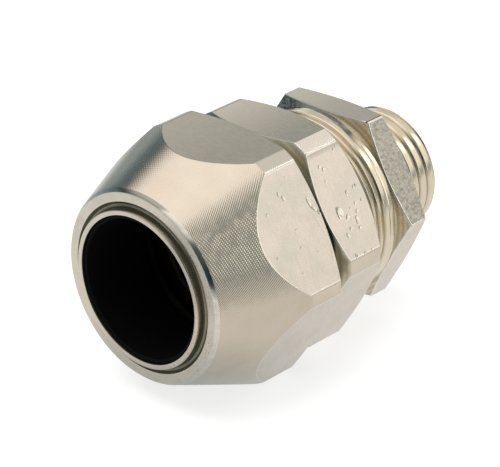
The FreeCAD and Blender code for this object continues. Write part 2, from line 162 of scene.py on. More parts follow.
# Dents and scratches, in millimetres and degrees: (flat, place along it, station, half length, width of the
# steep side, width of the gentle side, tilt, depth).
CAP_MARKS = [
    (1, -4.75, -23.75, 0.40, 0.12, 0.30, 25, 0.070),
    (1, -4.15, -23.30, 0.45, 0.12, 0.30, 22, 0.070),
    (1, -2.50, -19.83, 0.90, 0.15, 0.32, 6, 0.080),
    (1, -1.45, -19.40, 0.80, 0.16, 0.32, 38, 0.090),
    (1, -0.85, -18.80, 0.36, 0.26, 0.30, 0, 0.250),
    (1, 0.60, -19.45, 2.40, 0.10, 0.35, 14, 0.030),
    (1, 4.40, -19.30, 1.80, 0.10, 0.30, -14, 0.025),
    (1, -3.20, -26.50, 0.22, 0.12, 0.30, 0, 0.045),
    (1, -0.10, -23.20, 0.20, 0.12, 0.28, 0, 0.040),
    (1, 2.00, -23.45, 0.18, 0.12, 0.28, 0, 0.040),
    (1, 2.00, -27.40, 0.24, 0.12, 0.30, 30, 0.045),
    (1, 3.40, -21.20, 0.16, 0.12, 0.28, 0, 0.035),
    (1, 4.90, -24.60, 0.20, 0.12, 0.28, 40, 0.035),
    (1, -6.20, -21.80, 0.22, 0.12, 0.25, 20, 0.035),
    (4, 1.80, -21.60, 0.50, 0.20, 0.40, 40, 0.080),
    (5, -2.60, -23.80, 0.30, 0.20, 0.35, -20, 0.060),
    (2, 3.10, -22.00, 0.30, 0.20, 0.30, 10, 0.050),
    (0, 5.20, -21.50, 0.30, 0.15, 0.25, 20, 0.040),
    (0, -1.50, -20.60, 0.60, 0.10, 0.20, 55, 0.025),
]
MIDDLE_MARKS = [
    (1, 1.10, -15.18, 0.95, 0.28, 0.90, -2, 0.150),
    (1, 2.00, -14.15, 0.42, 0.16, 0.50, -25, 0.080),
    (1, -4.82, -15.20, 0.34, 0.13, 0.40, 5, 0.060),
    (1, -4.34, -14.75, 0.36, 0.14, 0.40, 0, 0.070),
    (1, -2.99, -15.14, 0.22, 0.12, 0.30, 0, 0.045),
    (1, -0.69, -12.74, 0.36, 0.14, 0.38, -8, 0.085),
    (1, -0.96, -11.40, 0.30, 0.13, 0.35, 0, 0.060),
    (1, 0.94, -12.20, 0.28, 0.13, 0.35, 0, 0.060),
    (1, 1.20, -13.20, 0.20, 0.12, 0.30, 0, 0.045),
    (1, 1.90, -12.40, 0.32, 0.14, 0.35, 0, 0.075),
    (1, 2.57, -12.85, 0.32, 0.14, 0.38, 10, 0.075),
    (1, 3.05, -12.90, 0.40, 0.16, 0.38, 0, 0.090),
    (1, 3.80, -12.95, 0.28, 0.14, 0.35, 0, 0.060),
    (1, 3.44, -14.33, 0.30, 0.14, 0.36, 0, 0.075),
    (1, 4.05, -15.15, 0.48, 0.13, 0.36, 20, 0.060),
    (1, 6.60, -15.10, 0.35, 0.20, 0.25, 0, 0.100),
    (1, 6.75, -13.60, 0.26, 0.14, 0.20, 90, 0.080),
    (1, 6.80, -12.40, 0.18, 0.14, 0.20, 0, 0.060),
    (1, -1.00, -10.95, 0.35, 0.18, 0.20, 0, 0.090),
    (1, 0.90, -10.95, 0.25, 0.18, 0.20, 0, 0.080),
    (1, -6.00, -12.00, 0.25, 0.14, 0.35, 10, 0.060),
    (1, -6.30, -11.50, 0.18, 0.13, 0.30, 0, 0.045),
    (4, -2.20, -13.60, 0.50, 0.25, 0.40, 35, 0.100),
    (4, 3.40, -14.80, 0.25, 0.20, 0.30, 0, 0.080),
    (3, 2.90, -12.40, 0.30, 0.20, 0.30, -30, 0.060),
    (5, 0.60, -12.90, 0.30, 0.20, 0.30, 20, 0.060),
]
# Marks reach no deeper below a flat than this.
MARK_REACH = 0.8 * MM
# Painted shade lies where a dent drops by more than this share of the step along the axis.
SHADED_SLOPE = 0.3
SHADED_LEAST = 0.001 * MM


# ---------------------------------------------------------------- turned and milled shapes


def face_offsets(corner_offset, per_face):
    """Column angles across one flat, in degrees from its middle, closer together at the turned corner."""
    plain = np.linspace(-HALF_SIDE, HALF_SIDE, per_face, endpoint=False)
    edge = corner_offset + np.array(CORNER_STEPS)
    keep = np.abs(np.abs(plain) - corner_offset) > CORNER_CLEAR
    found = np.concatenate([plain[keep], -edge, edge])
    return np.unique(np.round(found[(found >= -HALF_SIDE) & (found < HALF_SIDE)], 4))


class Columns:
    """The columns of a six-sided piece: each one's angle, its flat, and how far along that flat it is."""

    def __init__(self, half_width, corner, turn, per_face):
        self.half_width = half_width
        self.corner_offset = math.degrees(math.acos(half_width / corner))
        offsets = [face_offsets(self.corner_offset, count) for count in per_face]
        turned_offsets = [found + 2 * HALF_SIDE * k + turn for k, found in enumerate(offsets)]
        self.angle = np.radians(np.concatenate(turned_offsets))
        self.offset = np.radians(np.concatenate(offsets))
        self.face = np.concatenate([np.full(len(found), k) for k, found in enumerate(offsets)])
        crown = CROWN * (np.tan(self.offset) * half_width / CROWN_REACH) ** 2
        flat = (half_width - crown) / np.cos(self.offset)
        self.land = soft_min(flat, corner, CORNER_BLEND)
        self.normal_angle = self.angle - self.offset


def soft_min(a, b, width):
    """The smaller of two, blended where they are within width of each other."""
    share = np.clip(0.5 + 0.5 * (b - a) / width, 0, 1)
    return b + (a - b) * share - width * share * (1 - share)


# A rounding takes up to this share of the shorter side beside it.
ROUNDING_SHARE = 0.45
LARGE_ROUNDING = 0.08 * MM
SMALL_ROUNDING = 0.03 * MM


def arc_rows(rounding):
    """How many rows a rounded corner gets."""
    if rounding >= LARGE_ROUNDING:
        return 5
    return 3 if rounding > SMALL_ROUNDING else 2


def rounded_section(corners):
    """Rows of a closed section with rounded corners.

    corners is a list of (radius, station, rounding in millimetres, steps after it, finish after it). Radius
    and station are numbers or one value per column. Returns the radii and stations, row by row, and each
    row's finish."""
    width = max(np.size(corner[0]) for corner in corners)
    points = np.array([[np.broadcast_to(value, width) for value in corner[:2]] for corner in corners])
    rounding = np.array([corner[2] for corner in corners]) * MM
    before = points - np.roll(points, 1, axis=0)
    after = np.roll(points, -1, axis=0) - points
    before_length = np.linalg.norm(before, axis=1, keepdims=True)
    after_length = np.linalg.norm(after, axis=1, keepdims=True)
    before_unit = before / before_length
    after_unit = after / after_length
    cosine = np.clip((before_unit * after_unit).sum(1, keepdims=True), -1, 1)
    reach = rounding[:, None, None] * np.sqrt((1 - cosine) / (1 + cosine + 1e-9))
    reach = np.minimum(reach, ROUNDING_SHARE * np.minimum(before_length, after_length))
    start = points - before_unit * reach
    end = points + after_unit * reach
    rows, finishes = [], []
    count = len(points)
    for k in range(count):
        beside = (corners[k - 1][4], corners[k][4])
        for t in np.linspace(0, 1, arc_rows(rounding[k])):
            rows.append(start[k] * (1 - t) ** 2 + points[k] * 2 * t * (1 - t) + end[k] * t * t)
            finishes.append(EDGE if MILLED in beside and t < 1 else beside[int(t >= 0.5)])
        for t in np.linspace(0, 1, corners[k][3] + 1)[1:-1]:
            rows.append(end[k] * (1 - t) + start[(k + 1) % count] * t)
            finishes.append(corners[k][4])
    rows = np.array(rows)
    return rows[:, 0], rows[:, 1], np.array(finishes)


# One turn of thread, from its leading flank: how deep it is at each share of the pitch, as a share of it. Its
# station is its phase at THREAD_ANGLE.
THREAD_STEPS = (0.0, 0.07, 0.13, 0.18, 0.24, 0.34, 0.46, 0.58, 0.70, 0.80, 0.88, 0.94, 1.0)
ROUNDED_THREAD = (0.30, 0.17, 0.06, 0.01, 0.0, 0.03, 0.06, 0.09, 0.12, 0.155, 0.21, 0.29, 0.31)
FLAT_THREAD = (0.25, 0.12, 0.03, 0.006, 0.0, 0.0, 0.0, 0.004, 0.010, 0.02, 0.06, 0.15, 0.25)
THREAD_ANGLE = math.radians(60)
# The groove deepens and runs out over these shares of the pitch, and flattens over this length.
FADE_IN = 0.5
FADE_OUT = 0.3
FLATTENING = 0.4 * MM
# What lies this close to the crest radius is cut.
CREST_CLOSE = 0.03 * MM


def cut_thread(section, columns, crest, pitch, phase, ends, flat_from, flat_depth=1.0):
    """Cuts a right-handed helical groove into what lies at the crest radius between two stations.

    Its crests are rounded before flat_from, and flat with a groove flat_depth as deep beyond it."""
    radius, station = section
    first, last = ends
    turn = ((station - phase) / pitch - (columns.angle - THREAD_ANGLE) / (2 * math.pi)) % 1.0
    flatness = np.clip((station - flat_from) / FLATTENING, 0, 1)
    rounded = np.interp(turn, THREAD_STEPS, ROUNDED_THREAD)
    flat = flat_depth * np.interp(turn, THREAD_STEPS, FLAT_THREAD)
    depth = pitch * (rounded + flatness * (flat - rounded))
    fade_in = np.clip((station - first) / (FADE_IN * pitch), 0, 1)
    fade_out = np.clip((last - station) / (FADE_OUT * pitch), 0, 1)
    on_crest = np.abs(radius - crest) < CREST_CLOSE
    return radius - np.where(on_crest, depth * fade_in * fade_out, 0)


def press_marks(radius, station, columns, marks):
    """How far each vertex is pressed in along its flat's normal, in metres.

    Each mark drops steeply on its side towards -Y and rises gently towards +Y."""
    pressed = np.zeros_like(radius)
    along = radius * np.sin(columns.offset)
    outside = radius * np.cos(columns.offset) > columns.half_width - MARK_REACH
    for flat, mark_along, mark_station, length, steep, gentle, tilt, depth in marks:
        a = (along - mark_along * MM) / MM
        b = (station - mark_station * MM) / MM
        cosine = math.cos(math.radians(tilt))
        sine = math.sin(math.radians(tilt))
        p = (a * cosine + b * sine) / length
        q = b * cosine - a * sine
        q = np.where(q < 0, q / steep, q / gentle)
        bowl = np.clip(1 - p * p - q * q, 0, 1) ** 2
        here = outside & (columns.face == flat)
        pressed += np.where(here, depth * bowl * MM, 0)
    return pressed


def grid_finishes(finishes, station, columns, pressed, worn_flat):
    """The finish of each quad of the grid: its row's, but for corners, edges, the worn flat and dents."""
    finish = np.repeat(finishes[:, None], station.shape[1], axis=1)
    inside = columns.corner_offset - np.degrees(np.abs(columns.offset))
    on_land = (finish == MILLED) | (finish == EDGE)
    finish[on_land & (inside < EDGE_OUTER)] = TURNED
    finish[(finish == MILLED) & (inside < EDGE_INNER)] = EDGE
    finish[(finish == MILLED) & (columns.face == worn_flat)] = WORN
    # Painted shade lies on the steep side of each dent.
    drop = np.roll(pressed, -1, axis=0) - pressed
    step = np.abs(np.roll(station, -1, axis=0) - station)
    finish[drop > SHADED_SLOPE * step + SHADED_LEAST] = GROOVED
    return finish


def grid_quads(rows, cols):
    """The corners of each quad of a grid that closes on itself both ways."""
    row = np.arange(rows)[:, None]
    col = np.arange(cols)[None, :]
    next_row = (row + 1) % rows
    next_col = (col + 1) % cols
    corners = [row * cols + col, row * cols + next_col, next_row * cols + next_col, next_row * cols + col]
    return np.stack(np.broadcast_arrays(*corners), axis=-1).reshape(-1, 4)


def ring_mesh(name, section, finishes, columns, marks=(), worn_flat=NO_FLAT):
    """A closed mesh from a grid of radii and stations: rows run round the section, columns round the axis."""
    radius, station = section
    pressed = press_marks(radius, station, columns, marks)
    x = radius * np.sin(columns.angle) - pressed * np.sin(columns.normal_angle)
    z = radius * np.cos(columns.angle) - pressed * np.cos(columns.normal_angle)
    vertices = np.stack([x, station, z], axis=-1).reshape(-1, 3)
    quads = grid_quads(*radius.shape)
    finish = grid_finishes(finishes, station, columns, pressed, worn_flat)
    mesh = bpy.data.meshes.new(name)
    mesh.vertices.add(len(vertices))
    mesh.vertices.foreach_set("co", vertices.astype(np.float32).ravel())
    mesh.loops.add(len(quads) * 4)
    mesh.loops.foreach_set("vertex_index", quads.astype(np.int32).ravel())
    mesh.polygons.add(len(quads))
    mesh.polygons.foreach_set("loop_start", np.arange(0, len(quads) * 4, 4, dtype=np.int32))
    mesh.polygons.foreach_set("use_smooth", np.ones(len(quads), bool))
    mesh.polygons.foreach_set("material_index", finish.astype(np.int32).ravel())
    mesh.update(calc_edges=True)
    mesh.validate()
    thing = bpy.data.objects.new(name, mesh)
    bpy.context.scene.collection.objects.link(thing)
    weighting = thing.modifiers.new("even_normals", "WEIGHTED_NORMAL")
    weighting.keep_sharp = True
    return thing


def build_cap():
    columns = Columns(CAP_HALF_WIDTH, CAP_CORNER, 0.0, CAP_COLUMNS)
    land = columns.land
    cone_end = CAP_CONE_FRONT + (land - CAP_CONE_RADIUS) / CAP_CONE_SLOPE
    land_back = CAP_BACK - (land - CAP_BACK_RADIUS) * CAP_BACK_SLOPE
    bore = CAP_THREAD_RADIUS + THREAD_CLEARANCE
    radius, station, finishes = rounded_section([
        (CAP_BORE, CAP_LIP, 0.14, 3, FACED),
        # The groove beside the lip and the back chamfer in the gap get painted shade.
        (LIP_RADIUS, CAP_LIP, 0.14, 5, GROOVED),
        (GROOVE_SIDE, CAP_FACE + GROOVE_SIDE_DEPTH, 0.2, 2, GROOVED),
        (GROOVE_BOTTOM, CAP_FACE + GROOVE_DEPTH, 0.2, 4, GROOVED),
        (GROOVE_RIM, CAP_FACE, 0.08, 4, FACED),
        (CAP_FACE_RADIUS, CAP_FACE, 0.04, 2, BRIGHT),
        (CAP_CONE_RADIUS, CAP_CONE_FRONT, 0.06, 22, TURNED),
        (land, cone_end, 0.42, 92, MILLED),
        (land, land_back, 0.11, 5, GROOVED),
        (CAP_BACK_RADIUS, CAP_BACK, 0.10, 2, GROOVED),
        (bore + BORE_LEAD_IN, CAP_BACK, 0.02, 1, BORED),
        (bore, CAP_BACK - BORE_LEAD_IN, 0.02, 8, BORED),
        (bore, CAP_THREAD_START, 0.02, 1, BORED),
        (CAP_CHAMBER, CAP_THREAD_START, 0.02, 5, BORED),
        (CAP_CHAMBER, CAP_SHOULDER, 0.02, 2, BORED),
        (CAP_BORE, CAP_SHOULDER, 0.02, 8, BORED),
    ])
    return ring_mesh("cap_nut_shell", (radius, station), finishes, columns, CAP_MARKS)


def build_middle():
    columns = Columns(MIDDLE_HALF_WIDTH, MIDDLE_CORNER, MIDDLE_TURN, MIDDLE_COLUMNS)
    land = columns.land
    land_front = MIDDLE_HEX_FRONT + (land - MIDDLE_FACE_RADIUS) * MIDDLE_FRONT_SLOPE
    land_back = MIDDLE_BACK - (land - MIDDLE_FACE_RADIUS) * MIDDLE_BACK_SLOPE
    bore = BODY_THREAD_RADIUS + THREAD_CLEARANCE
    radius, station, finishes = rounded_section([
        # The middle body's front end and chamber inside: painted shade.
        (MIDDLE_BORE, MIDDLE_FRONT + MIDDLE_FRONT_BEVEL, 0.02, 1, INSIDE_SHADE),
        (MIDDLE_FRONT_RADIUS, MIDDLE_FRONT, 0.05, 2, INSIDE_SHADE),
        (CAP_THREAD_RADIUS - THREAD_LEAD_IN, MIDDLE_FRONT, 0.05, 2, THREADED),
        (CAP_THREAD_RADIUS, MIDDLE_FRONT + THREAD_LEAD_IN, 0.05, 60, THREADED),
        (CAP_THREAD_RADIUS, MIDDLE_HEX_FRONT, 0.02, 1, GROOVED),
        (MIDDLE_FACE_RADIUS, MIDDLE_HEX_FRONT, 0.08, 5, DULLED),
        (land, land_front, 0.22, 70, MILLED),
        (land, land_back, 0.11, 5, TURNED),
        (MIDDLE_FACE_RADIUS, MIDDLE_BACK, 0.08, 2, FACED),
        (bore + BORE_LEAD_IN, MIDDLE_BACK, 0.05, 1, TURNED),
        (bore, MIDDLE_BACK - BORE_LEAD_IN, 0.02, 6, BORED),
        (bore, MIDDLE_SHOULDER, 0.02, 1, BORED),
        (MIDDLE_CHAMBER, MIDDLE_SHOULDER, 0.02, 5, INSIDE_SHADE),
        (MIDDLE_CHAMBER, MIDDLE_CHAMBER_FRONT, 0.02, 2, INSIDE_SHADE),
        (MIDDLE_BORE, MIDDLE_CHAMBER_FRONT, 0.02, 2, INSIDE_SHADE),
    ])
    ends = (MIDDLE_FRONT, MIDDLE_HEX_FRONT - 0.2 * MM)
    radius = cut_thread((radius, station), columns, CAP_THREAD_RADIUS, BODY_THREAD_PITCH, 0.0, ends, 0.0)
    return ring_mesh("middle_body_shell", (radius, station), finishes, columns, MIDDLE_MARKS)


def build_entry():
    columns = Columns(ENTRY_HALF_WIDTH, ENTRY_CORNER, ENTRY_TURN, ENTRY_COLUMNS)
    land = columns.land
    land_front = ENTRY_HEX_FRONT + (land - ENTRY_FACE_RADIUS) * ENTRY_FRONT_SLOPE
    land_back = -(land - ENTRY_FACE_RADIUS) * ENTRY_BACK_SLOPE
    radius, station, finishes = rounded_section([
        (ENTRY_BORE, ENTRY_CONE_BACK, 0.02, 2, BORED),
        (ENTRY_CHAMBER, ENTRY_CONE_FRONT, 0.02, 4, BORED),
        (ENTRY_CHAMBER, ENTRY_FRONT, 0.02, 2, TURNED),
        (BODY_THREAD_RADIUS - THREAD_LEAD_IN, ENTRY_FRONT, 0.05, 2, THREADED),
        (BODY_THREAD_RADIUS, ENTRY_FRONT + THREAD_LEAD_IN, 0.02, 28, THREADED),
        (BODY_THREAD_RADIUS, SHOWN_THREAD_FRONT, 0.0, 62, THREADED),
        (BODY_THREAD_RADIUS, BODY_THREAD_END, 0.02, 1, THREADED),
        (ENTRY_FACE_RADIUS, ENTRY_HEX_FRONT, 0.02, 6, DULLED),
        (land, land_front, 0.24, 24, MILLED),
        (land, land_back, 0.11, 5, TURNED),
        (ENTRY_FACE_RADIUS, 0.0, 0.08, 4, FACED),
        (ENTRY_THREAD_RADIUS, 0.0, 0.02, 64, THREADED),
        (ENTRY_THREAD_RADIUS, THREAD_END - THREAD_END_BEVEL[1], 0.05, 3, THREADED),
        (ENTRY_THREAD_RADIUS - THREAD_END_BEVEL[0], THREAD_END, 0.08, 2, FACED),
        (ENTRY_BORE + BORE_LEAD_IN, THREAD_END, 0.05, 1, TURNED),
        (ENTRY_BORE, THREAD_END - BORE_LEAD_IN, 0.02, 4, BORED),
    ])
    ends = (ENTRY_FRONT, ENTRY_HEX_FRONT)
    phase = -7.03 * MM
    run_out = -6.0 * MM
    run_out_depth = 0.22
    radius = cut_thread(
        (radius, station), columns, BODY_THREAD_RADIUS, BODY_THREAD_PITCH, phase, ends, run_out, run_out_depth
    )
    ends = (0.1 * MM, THREAD_END + 1 * MM)
    phase = 5.10 * MM
    radius = cut_thread((radius, station), columns, ENTRY_THREAD_RADIUS, ENTRY_THREAD_PITCH, phase, ends, 0.0)
    return ring_mesh("entry_body_shell", (radius, station), finishes, columns, worn_flat=WORN_FLAT)


# ---------------------------------------------------------------- materials

# Lengths in the materials are in millimetres, and angles in radians round the axis from +Z towards +X.

# Stations where a finish changes: nothing of the new one before the first, and all of it after the second.
CAP_LAND_START = (-24.6, -24.2)
CAP_GAP_END = (-16.0, -16.4)
MIDDLE_START = (-18.2, -18.0)
ENTRY_START = (-8.0, -7.0)
ENTRY_SLOPE_START = (-5.0, -4.6)

# Where single features lie round the axis.
CORNER_ANGLE = 0.50
CHATTER_ANGLE = 1.08
SHADED_FACE_ANGLE = 1.0
GAP_SHADE_ANGLE = 1.24
BLACK_EDGE_ANGLE = 0.466
THREAD_STREAK_ANGLE = 0.05
SLOPE_STREAK_ANGLE = -0.56

# The tool's waves on turned faces: radians of wave per millimetre along the axis, and per radian round it.
RING_WAVE = (20.1, -72.0)
CHATTER_WAVE = (17.6, 302.0)
RING_STRENGTH = 0.75

# How dark the painted shade on the upper flats is at their end towards -X, and how much darker towards +X.
CAP_FLAT_SHADE = (0.37, 0.28)
MIDDLE_FLAT_SHADE = (0.0, 0.75)
ENTRY_FLAT_SHADE = (0.20, 0.30)

# The body thread's slate streak lies at this station at angle 0, and this much further forward with each
# radian.
THREAD_STREAK_STATION = -4.52
THREAD_STREAK_SLANT = 1.15

# How much higher up the painted shade in the gap is round its angle.
GAP_SHADE_RISE = 0.22


class Nodes:
    """A short way to write one material's node tree."""

    def __init__(self, name):
        self.material = bpy.data.materials.new(name)
        self.material.use_nodes = True
        self.tree = self.material.node_tree
        self.shader = self.tree.nodes["Principled BSDF"]

    def add(self, kind, inputs=(), **settings):
        node = self.tree.nodes.new(kind)
        for key, value in settings.items():
            setattr(node, key, value)
        for key, value in dict(inputs).items():
            self.put(node.inputs[key], value)
        return node

    def put(self, socket, value):
        if isinstance(value, bpy.types.NodeSocket):
            self.tree.links.new(value, socket)
        else:
            socket.default_value = value

    def math(self, operation, a, b=0.0, c=0.0):
        node = self.add("ShaderNodeMath", operation=operation)
        for socket, value in zip(node.inputs, (a, b, c)):
            self.put(socket, value)
        return node.outputs[0]

    def product(self, a, b):
        return self.math("MULTIPLY", a, b)

    def wave(self, station, angle, rates):
        along, round_it = rates
        return self.math("SINE", self.math("MULTIPLY_ADD", station, along, self.product(angle, round_it)))

    def point(self):
        """The place in millimetres, in the piece's own frame."""
        return self.scaled(self.add("ShaderNodeTexCoord").outputs["Object"], (1000, 1000, 1000))

    def axes(self, point):
        return tuple(self.add("ShaderNodeSeparateXYZ", {0: point}).outputs)

    def angle(self, x, z):
        return self.math("ARCTAN2", x, z)

    def radius(self, x, z):
        return self.math("SQRT", self.math("ADD", self.product(x, x), self.product(z, z)))

    def scaled(self, vector, factors):
        return self.add("ShaderNodeVectorMath", {0: vector, 1: factors}, operation="MULTIPLY").outputs[0]

    def distance(self, a, b):
        return self.add("ShaderNodeVectorMath", {0: a, 1: b}, operation="DISTANCE").outputs["Value"]

    def noise(self, vector, scale, detail=2.0, roughness=0.5):
        inputs = {"Vector": vector, "Scale": scale, "Detail": detail, "Roughness": roughness}
        return self.add("ShaderNodeTexNoise", inputs).outputs["Fac"]

    def spread(self, value, low, high, to_low=0.0, to_high=1.0, kind="LINEAR"):
        inputs = {"Value": value, "From Min": low, "From Max": high, "To Min": to_low, "To Max": to_high}
        return self.add("ShaderNodeMapRange", inputs, interpolation_type=kind).outputs["Result"]

    def near(self, value, centre, far, close, to_far=0.0):
        """One where the value is within close of the centre, and to_far where it is further off than far."""
        distance = self.math("ABSOLUTE", self.math("SUBTRACT", value, centre))
        return self.spread(distance, far, close, to_far)

    def mix_colour(self, share, a, b):
        node = self.add("ShaderNodeMix", data_type="RGBA")
        for socket, value in zip((node.inputs[0], node.inputs[6], node.inputs[7]), (share, a, b)):
            self.put(socket, (*value, 1) if isinstance(value, tuple) else value)
        return node.outputs[2]

    def bump(self, height, distance):
        return self.add("ShaderNodeBump", {"Height": height, "Distance": distance}).outputs["Normal"]

    def finish(self, colour, roughness, metallic, normal=None):
        for name, value in (("Base Color", colour), ("Roughness", roughness), ("Metallic", metallic)):
            self.put(self.shader.inputs[name], value)
        if normal is not None:
            self.put(self.shader.inputs["Normal"], normal)
        return self.material


def chatter_height(nodes, point, y, angle, middle_corner):
    """The tool's rings crossed by its chatter, strongest round CHATTER_ANGLE and on middle_corner."""
    patchy = nodes.spread(nodes.noise(point, 1.1, 2.0), 0.3, 0.7, 0.7, 1.3)
    patchy = nodes.product(patchy, nodes.near(angle, CHATTER_ANGLE, 0.56, 0.26, to_far=0.3))
    patchy = nodes.math("MAXIMUM", patchy, middle_corner)
    rings = nodes.product(nodes.wave(y, angle, RING_WAVE), RING_STRENGTH)
    woven = nodes.math("ADD", rings, nodes.wave(y, angle, CHATTER_WAVE))
    return nodes.product(woven, patchy)


def turned_nickel():
    """Turned faces: fine rings round the axis, crossed by the tool's slanting chatter, with a painted
    highlight on one corner strip behind the cap.
    """
    plate = (0.80, 0.69, 0.56)
    stained = (0.77, 0.655, 0.52)
    dull_corner = (0.74, 0.69, 0.60)
    highlit_corner = (0.90, 0.83, 0.75)
    # The colour of the painted highlight on one corner strip behind the cap.
    speckle = (0.45, 0.39, 0.31)
    nodes = Nodes("nickel_turned")
    point = nodes.point()
    x, y, z = nodes.axes(point)
    angle = nodes.angle(x, z)
    corner = nodes.near(angle, CORNER_ANGLE, 0.12, 0.10)
    middle_corner = nodes.product(corner, nodes.spread(y, *MIDDLE_START))
    cap_corner = nodes.product(corner, nodes.spread(y, *CAP_LAND_START))
    height = chatter_height(nodes, point, y, angle, middle_corner)
    stain = nodes.noise(point, 0.35, 3.0)
    grain = nodes.noise(point, 7.0, 2.0)
    colour = nodes.mix_colour(nodes.spread(stain, 0.35, 0.7), plate, stained)
    colour = nodes.mix_colour(cap_corner, colour, dull_corner)
    # A painted highlight on the corner strip at CORNER_ANGLE behind the cap.
    colour = nodes.mix_colour(middle_corner, colour, highlit_corner)
    colour = nodes.mix_colour(nodes.spread(grain, 0.62, 0.75, 0.0, 0.25), colour, speckle)
    roughness = nodes.spread(stain, 0.3, 0.7, 0.16, 0.20)
    return nodes.finish(colour, roughness, 1.0, nodes.bump(height, distance=0.0068 * MM))


def faced_nickel():
    """Faced ends and the lip: plain satin plate, speckled here and there, with painted shade on one side."""
    plate = (0.95, 0.835, 0.695)
    stained = (0.88, 0.77, 0.635)
    shaded_face = (0.66, 0.60, 0.50)
    speckle = (0.25, 0.23, 0.19)
    nodes = Nodes("nickel_faced")
    point = nodes.point()
    x, _, z = nodes.axes(point)
    stain = nodes.noise(point, 0.5, 3.0)
    pits = nodes.noise(point, 4.0, 3.0, 0.7)
    colour = nodes.mix_colour(nodes.spread(stain, 0.35, 0.7), plate, stained)
    # Painted shade on the face and lip round one angle.
    colour = nodes.mix_colour(nodes.near(nodes.angle(x, z), SHADED_FACE_ANGLE, 0.6, 0.3), colour, shaded_face)
    worn_side = nodes.spread(x, 2.0, 8.0, 0.08, 0.5)
    spots = nodes.product(nodes.spread(pits, 0.56, 0.68), worn_side)
    colour = nodes.mix_colour(spots, colour, speckle)
    roughness = nodes.spread(stain, 0.3, 0.7, 0.2, 0.26)
    return nodes.finish(colour, roughness, 1.0, nodes.bump(pits, distance=0.010 * MM))


def piece_value(nodes, y, cap, middle, entry):
    """A value that goes from the cap's to the middle body's to the entry body's along the axis."""
    value = nodes.math("MULTIPLY_ADD", nodes.spread(y, *MIDDLE_START), middle - cap, cap)
    return nodes.math("MULTIPLY_ADD", nodes.spread(y, *ENTRY_START), entry - middle, value)


def flat_painted_shade(nodes, point):
    """How much painted shade lies on the flats: only the upper ones, more towards +X, and mottled."""
    x, y, z = nodes.axes(point)
    least, more = [piece_value(nodes, y, *three) for three in zip(CAP_FLAT_SHADE, MIDDLE_FLAT_SHADE, ENTRY_FLAT_SHADE)]
    upper = nodes.product(nodes.spread(z, 11.5, 12.0), nodes.spread(x, 8.6, 8.1))
    painted_shade = nodes.product(upper, nodes.math("MULTIPLY_ADD", nodes.spread(x, -7.0, 4.0), more, least))
    slant = {"Vector": point, "Rotation": (0, 0, 0.9), "Scale": (0.8, 1.7, 1)}
    mottle = nodes.noise(nodes.add("ShaderNodeMapping", slant).outputs[0], 1.5, 5.0, 0.75)
    return nodes.product(painted_shade, nodes.spread(mottle, 0.36, 0.64, 0.86, 1.14))


def milled_nickel():
    """Milled flats: satin plate with soft blotches, fine grain and pores, and painted shade on the upper
    ones.
    """
    plate = (0.86, 0.745, 0.635)
    blotched = (0.775, 0.705, 0.595)
    # The colour of the painted shade on the upper flats.
    shaded_plate = (0.335, 0.325, 0.275)
    scuffed = (0.62, 0.55, 0.45)
    pored = (0.60, 0.53, 0.435)
    nodes = Nodes("nickel_milled")
    point = nodes.point()
    blotch = nodes.noise(point, 0.3, 3.0, 0.6)
    grain = nodes.noise(point, 6.0, 3.0, 0.65)
    scratches = nodes.noise(nodes.scaled(point, (0.9, 9.0, 0.9)), 1.0, 3.0, 0.6)
    height = nodes.math("ADD", grain, nodes.product(scratches, 0.6))
    colour = nodes.mix_colour(nodes.spread(blotch, 0.35, 0.7), plate, blotched)
    # Painted shade on the upper flats, darker towards +X.
    colour = nodes.mix_colour(flat_painted_shade(nodes, point), colour, shaded_plate)
    colour = nodes.mix_colour(nodes.spread(scratches, 0.46, 0.68, 0.0, 0.32), colour, scuffed)
    colour = nodes.mix_colour(nodes.spread(grain, 0.45, 0.72, 0.0, 0.35), colour, pored)
    roughness = nodes.spread(blotch, 0.3, 0.7, 0.19, 0.26)
    return nodes.finish(colour, roughness, 1.0, nodes.bump(height, distance=0.0022 * MM))


def worn_nickel():
    """The entry hexagon's worn flat: dull, scuffed plate, mottled grey."""
    plate = (0.56, 0.505, 0.415)
    dirty = (0.22, 0.235, 0.21)
    speckle = (0.86, 0.80, 0.69)
    nodes = Nodes("nickel_worn")
    point = nodes.point()
    blotch = nodes.noise(point, 1.9, 4.0, 0.65)
    grain = nodes.noise(point, 4.5, 4.0, 0.75)
    scuff = nodes.noise(nodes.scaled(point, (5.0, 1.2, 1.2)), 1.0, 4.0, 0.7)
    blotched = nodes.spread(blotch, 0.42, 0.62, 0.0, 0.55)
    scuffed = nodes.spread(scuff, 0.5, 0.68, 0.0, 0.45)
    colour = nodes.mix_colour(nodes.math("ADD", blotched, scuffed), plate, dirty)
    colour = nodes.mix_colour(nodes.spread(grain, 0.52, 0.66, 0.0, 0.7), colour, speckle)
    roughness = nodes.spread(blotch, 0.3, 0.7, 0.30, 0.42)
    return nodes.finish(colour, roughness, 1.0, nodes.bump(grain, distance=0.006 * MM))


